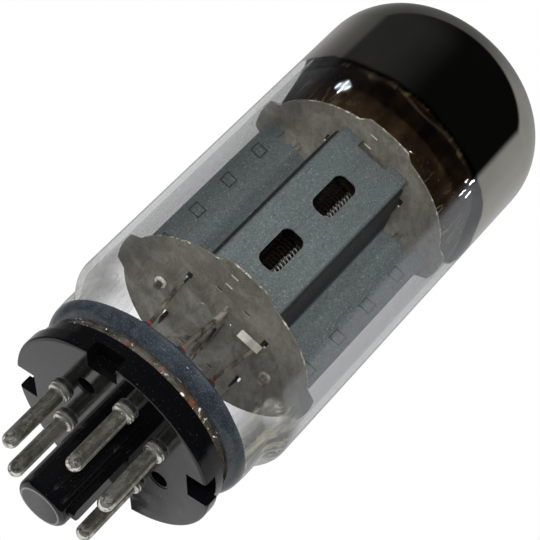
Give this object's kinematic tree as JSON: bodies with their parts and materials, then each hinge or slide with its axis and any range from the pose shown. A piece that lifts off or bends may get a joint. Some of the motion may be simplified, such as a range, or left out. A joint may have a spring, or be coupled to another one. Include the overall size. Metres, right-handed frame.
{
  "type": "beam power pentode",
  "caption": "Glass power valve with an octal plug-in base, locating spigot and pins, and a pressed anode cage held between mica discs under a mirrored dome.",
  "frame": {"origin": "centre of the base's flat underside, where it seats on a socket", "axes": "+Z along the tube's axis towards the glass dome, +X towards the locating key, pins pointing to -Z"},
  "size_m": [0.0368, 0.0368, 0.0968],
  "materials": {
    "base_plastic": "black moulded phenolic, slightly speckled, soft sheen",
    "pin_metal": "dull grey plating, lightly tarnished",
    "stem_glass": "pressed grey-blue glass, shiny",
    "bulb_glass": "clear, polished",
    "getter_mirror": "dark metallic mirror, brown at its edge",
    "seal_red": "oxide-red sealed wire ends",
    "copper_wire": "bare copper wire",
    "nickel_wire": "bare nickel, satin",
    "nickel_bright": "bright nickel",
    "mica": "thin sprayed mica sheet, speckled grey-brown",
    "anode_sheet": "matt grey carbonised sheet",
    "dark_sheet": "dark carbonised sheet",
    "grid_wire": "fine drawn wire",
    "copper_rod": "copper plated rod, satin",
    "cathode_white": "white oxide coating",
    "getter_metal": "dull burnt metal"
  },
  "bodies": {
    "root": {"base": "base_plastic", "pin_2": "pin_metal", "pin_3": "pin_metal", "pin_4": "pin_metal", "pin_5": "pin_metal", "pin_7": "pin_metal", "pin_8": "pin_metal", "glass_stem": "stem_glass", "glass_bulb": "bulb_glass", "mirror_coat": "getter_mirror", "lead_seals": "seal_red", "pin_wires": "copper_wire", "lead_wires": "nickel_wire", "weld_strap": "nickel_bright", "mica_lower": "mica", "mica_upper": "mica", "anode_front": "anode_sheet", "anode_back": "anode_sheet", "anode_rods": "nickel_wire", "rod_eyelets": "nickel_bright", "beam_plate_front": "dark_sheet", "beam_plate_back": "dark_sheet", "screen_rods": "nickel_wire", "screen_winding": "grid_wire", "control_rods": "copper_rod", "control_winding": "grid_wire", "cathode_sleeve": "cathode_white", "heater": "cathode_white", "getter_ring": "getter_metal", "getter_post": "getter_metal"}
  },
  "joints": []
}
